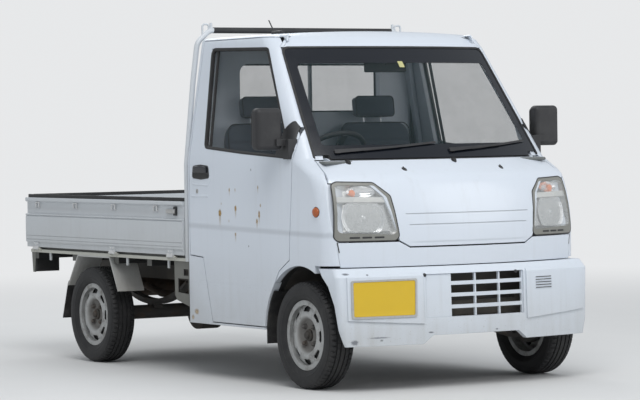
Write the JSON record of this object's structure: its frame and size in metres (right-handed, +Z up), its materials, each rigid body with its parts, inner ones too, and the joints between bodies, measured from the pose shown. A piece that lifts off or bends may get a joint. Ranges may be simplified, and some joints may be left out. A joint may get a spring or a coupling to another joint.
{
  "type": "kei truck",
  "caption": "Small forward-control truck with a two-seat cab, drop-side bed, steered front wheels, and opening doors, bonnet and gates.",
  "frame": {"origin": "on the ground under the middle of the whole truck's box, on its centre plane", "axes": "+X forwards, +Y to the truck's left, +Z up"},
  "size_m": [3.395, 1.8, 1.807],
  "materials": {
    "body_paint": "gloss",
    "bed_paint": "satin",
    "glass": "clear",
    "lamp": "clear",
    "black_trim": "matte",
    "interior": "grained",
    "seat_cloth": "woven",
    "underbody": "matte",
    "machinery": "rough",
    "rim_steel": "satin",
    "tyre": "matte",
    "flap_rubber": "matte",
    "galvanised": "weathered",
    "tail_lamp": "clear"
  },
  "bodies": {
    "truck": {"cab_side_right": "body_paint", "cab_side_left": "body_paint", "cab_back": "body_paint", "cab_roof": "body_paint", "cab_floor": "underbody", "cowl": "black_trim", "front_apron": "body_paint", "headlamps": "lamp", "front_bumper": "body_paint", "grille": "body_paint", "radiator": "machinery", "windscreen": "glass", "rear_window": "glass", "wipers": "black_trim", "facia": "interior", "seat_cushions": "seat_cloth", "seat_backs": "seat_cloth", "chassis_frame": "underbody", "drivetrain": "machinery", "fuel_tank": "underbody", "exhaust": "machinery", "rear_axle": "underbody", "front_suspension": "underbody", "bed_subframe": "underbody", "bed_deck": "bed_paint", "guard_frame": "body_paint", "mudguards": "galvanised", "mud_flaps": "flap_rubber", "tail_lamps": "tail_lamp"},
    "bonnet_lid": {"bonnet": "body_paint"},
    "door_right_body": {"door_right": "body_paint", "door_glass_right": "glass", "mirror_right": "black_trim"},
    "door_left_body": {"door_left": "body_paint", "door_glass_left": "glass", "mirror_left": "black_trim"},
    "gate_right_body": {"gate_right": "bed_paint"},
    "gate_left_body": {"gate_left": "bed_paint"},
    "tailgate_body": {"tailgate": "bed_paint"},
    "steering_wheel_body": {"steering_wheel": "black_trim"},
    "knuckle_right_body": {"knuckle_right": "machinery"},
    "knuckle_left_body": {"knuckle_left": "machinery"},
    "wheel_front_right": {"rim_front_right": "rim_steel", "tyre_front_right": "tyre"},
    "wheel_front_left": {"rim_front_left": "rim_steel", "tyre_front_left": "tyre"},
    "wheel_rear_right": {"rim_rear_right": "rim_steel", "tyre_rear_right": "tyre"},
    "wheel_rear_left": {"rim_rear_left": "rim_steel", "tyre_rear_left": "tyre"}
  },
  "joints": [
    {"name": "steer_right", "type": "hinge", "parent": "truck", "child": "knuckle_right_body", "pos_m": [1.2575, -0.545, 0.26], "axis": [0, 0, 1], "range_deg": [-32, 32]},
    {"name": "steer_left", "type": "hinge", "parent": "truck", "child": "knuckle_left_body", "pos_m": [1.2575, 0.545, 0.26], "axis": [0, 0, 1], "range_deg": [-32, 32]},
    {"name": "steering_wheel_turn", "type": "hinge", "parent": "truck", "child": "steering_wheel_body", "pos_m": [0.9225, -0.345, 1.118], "axis": [-0.6157, 0, 0.788], "range_deg": [-512, 512]},
    {"name": "spin_front_right", "type": "hinge", "parent": "knuckle_right_body", "child": "wheel_front_right", "pos_m": [1.2575, -0.652, 0.26], "axis": [0, 1, 0], "continuous": true},
    {"name": "spin_front_left", "type": "hinge", "parent": "knuckle_left_body", "child": "wheel_front_left", "pos_m": [1.2575, 0.652, 0.26], "axis": [0, 1, 0], "continuous": true},
    {"name": "spin_rear_right", "type": "hinge", "parent": "truck", "child": "wheel_rear_right", "pos_m": [-0.9425, -0.652, 0.26], "axis": [0, 1, 0], "continuous": true},
    {"name": "spin_rear_left", "type": "hinge", "parent": "truck", "child": "wheel_rear_left", "pos_m": [-0.9425, 0.652, 0.26], "axis": [0, 1, 0], "continuous": true},
    {"name": "door_right_hinge", "type": "hinge", "parent": "truck", "child": "door_right_body", "pos_m": [1.2135, -0.7375, 0.8], "axis": [0, 0, 1], "range_deg": [0, 65]},
    {"name": "door_left_hinge", "type": "hinge", "parent": "truck", "child": "door_left_body", "pos_m": [1.2135, 0.7375, 0.8], "axis": [0, 0, -1], "range_deg": [0, 65]},
    {"name": "bonnet_hinge", "type": "hinge", "parent": "truck", "child": "bonnet_lid", "pos_m": [1.2875, 0, 1.104], "axis": [0, -1, 0], "range_deg": [0, 35]},
    {"name": "gate_right_hinge", "type": "hinge", "parent": "truck", "child": "gate_right_body", "pos_m": [-0.7885, -0.7315, 0.603], "axis": [1, 0, 0], "range_deg": [0, 170]},
    {"name": "gate_left_hinge", "type": "hinge", "parent": "truck", "child": "gate_left_body", "pos_m": [-0.7885, 0.7315, 0.603], "axis": [-1, 0, 0], "range_deg": [0, 170]},
    {"name": "tailgate_hinge", "type": "hinge", "parent": "truck", "child": "tailgate_body", "pos_m": [-1.6915, 0, 0.603], "axis": [0, -1, 0], "range_deg": [0, 170]}
  ],
  "couplings": [
    {"joint": "steer_left", "follows": "steer_right", "ratio": 1},
    {"joint": "steering_wheel_turn", "follows": "steer_right", "ratio": 16}
  ]
}
